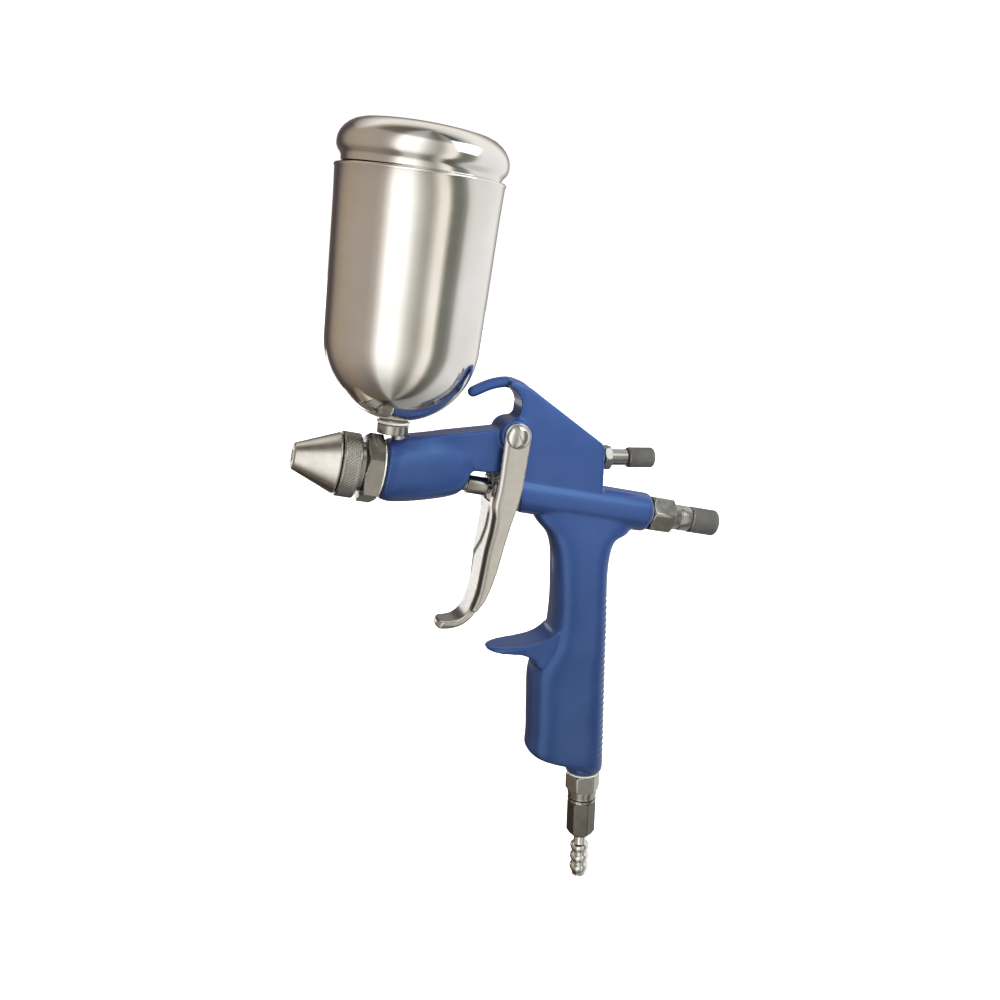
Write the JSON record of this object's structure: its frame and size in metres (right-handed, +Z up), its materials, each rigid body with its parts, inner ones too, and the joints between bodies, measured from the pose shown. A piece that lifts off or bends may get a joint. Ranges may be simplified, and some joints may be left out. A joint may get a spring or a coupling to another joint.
{
  "type": "airbrush gun",
  "caption": "Small gravity-feed airbrush gun: blue cast body with hanging hook, chrome trigger, round spray head, aluminium lidded cup, two rear knobs and a hose barb.",
  "frame": {"origin": "underside of the hanging hook's bar at its crown, on the middle plane, where a peg would touch it", "axes": "+Z up with the needle line level, -X the way the gun sprays, -Y the gun's left side"},
  "size_m": [0.1689, 0.0574, 0.2698],
  "materials": {
    "body_paint": "gloss",
    "polished_aluminium": "polished",
    "satin_steel": "satin",
    "nickel": "satin",
    "chrome": "polished",
    "dark_steel": "satin",
    "grey_metal": "matte",
    "spring_steel": "satin",
    "brass": "satin",
    "black_rubber": "matte",
    "white_seal": "matte"
  },
  "bodies": {
    "gun": {"gun_body": "body_paint", "head_fitting": "nickel", "head_gasket": "white_seal", "fluid_nozzle": "brass", "air_cap": "satin_steel", "cap_ring": "nickel", "needle_packing": "white_seal", "packing_nut": "nickel", "needle_spring": "spring_steel", "air_valve_gland": "brass", "air_valve_spring": "spring_steel", "adjuster_housing": "nickel", "air_control_gland": "nickel", "trigger_pivot_screw": "chrome", "trigger_pivot_nut": "chrome", "trigger_bush": "brass", "inlet_nipple": "nickel", "cup_gasket": "white_seal", "cup": "polished_aluminium", "cup_nut": "brass", "paint_strainer": "nickel", "adapter_seal": "white_seal", "inlet_adapter": "nickel", "union_seal": "nickel", "union_nut": "dark_steel", "hose_barb": "chrome"},
    "trigger": {"trigger": "chrome"},
    "needle": {"fluid_needle": "satin_steel", "needle_collar": "brass"},
    "air_valve": {"air_valve_stem": "chrome", "air_valve_seal": "black_rubber"},
    "needle_stop": {"needle_stop": "brass"},
    "fluid_knob": {"fluid_knob": "grey_metal"},
    "air_control_slider": {"air_control_oring": "black_rubber"},
    "air_control_knob": {"air_control_stem": "nickel", "air_control_knob": "grey_metal"},
    "lid": {"cup_lid": "polished_aluminium", "lid_gasket": "black_rubber"}
  },
  "joints": [
    {"name": "trigger_pull", "type": "hinge", "parent": "gun", "child": "trigger", "pos_m": [0.0055, 0, -0.0154], "axis": [0, -1, 0], "range_deg": [0, 18], "stiffness_Nm_per_rad": 0.8, "springref_deg": -14.32},
    {"name": "air_valve_slide", "type": "slide", "parent": "gun", "child": "air_valve", "axis": [1, 0, 0], "range_m": [0, 0.0072], "deforming": ["air_valve_spring"]},
    {"name": "needle_slide", "type": "slide", "parent": "gun", "child": "needle", "axis": [1, 0, 0], "range_m": [0, 0.0053], "deforming": ["needle_spring"]},
    {"name": "needle_stop_slide", "type": "slide", "parent": "gun", "child": "needle_stop", "axis": [1, 0, 0], "range_m": [0, 0.003]},
    {"name": "fluid_knob_turn", "type": "hinge", "parent": "needle_stop", "child": "fluid_knob", "pos_m": [0.09, 0, -0.0364], "axis": [1, 0, 0], "range_deg": [0, 1080]},
    {"name": "air_control_slide", "type": "slide", "parent": "gun", "child": "air_control_slider", "axis": [0.988, 0, 0.1547], "range_m": [0, 0.003]},
    {"name": "air_knob_turn", "type": "hinge", "parent": "air_control_slider", "child": "air_control_knob", "pos_m": [0.0423, 0, -0.0185], "axis": [0.988, 0, 0.1547], "range_deg": [0, 1080]},
    {"name": "lid_lift", "type": "slide", "parent": "gun", "child": "lid", "axis": [-0.0906, 0, 0.9959], "range_m": [0, 0.03]}
  ],
  "couplings": [
    {"joint": "air_valve_slide", "follows": "trigger_pull", "m_per_rad": 0.0229},
    {"joint": "needle_slide", "follows": "trigger_pull", "m_per_rad": 0.0166},
    {"joint": "fluid_knob_turn", "follows": "needle_stop_slide", "rad_per_m": 6283.2},
    {"joint": "air_knob_turn", "follows": "air_control_slide", "rad_per_m": 6283.2}
  ]
}
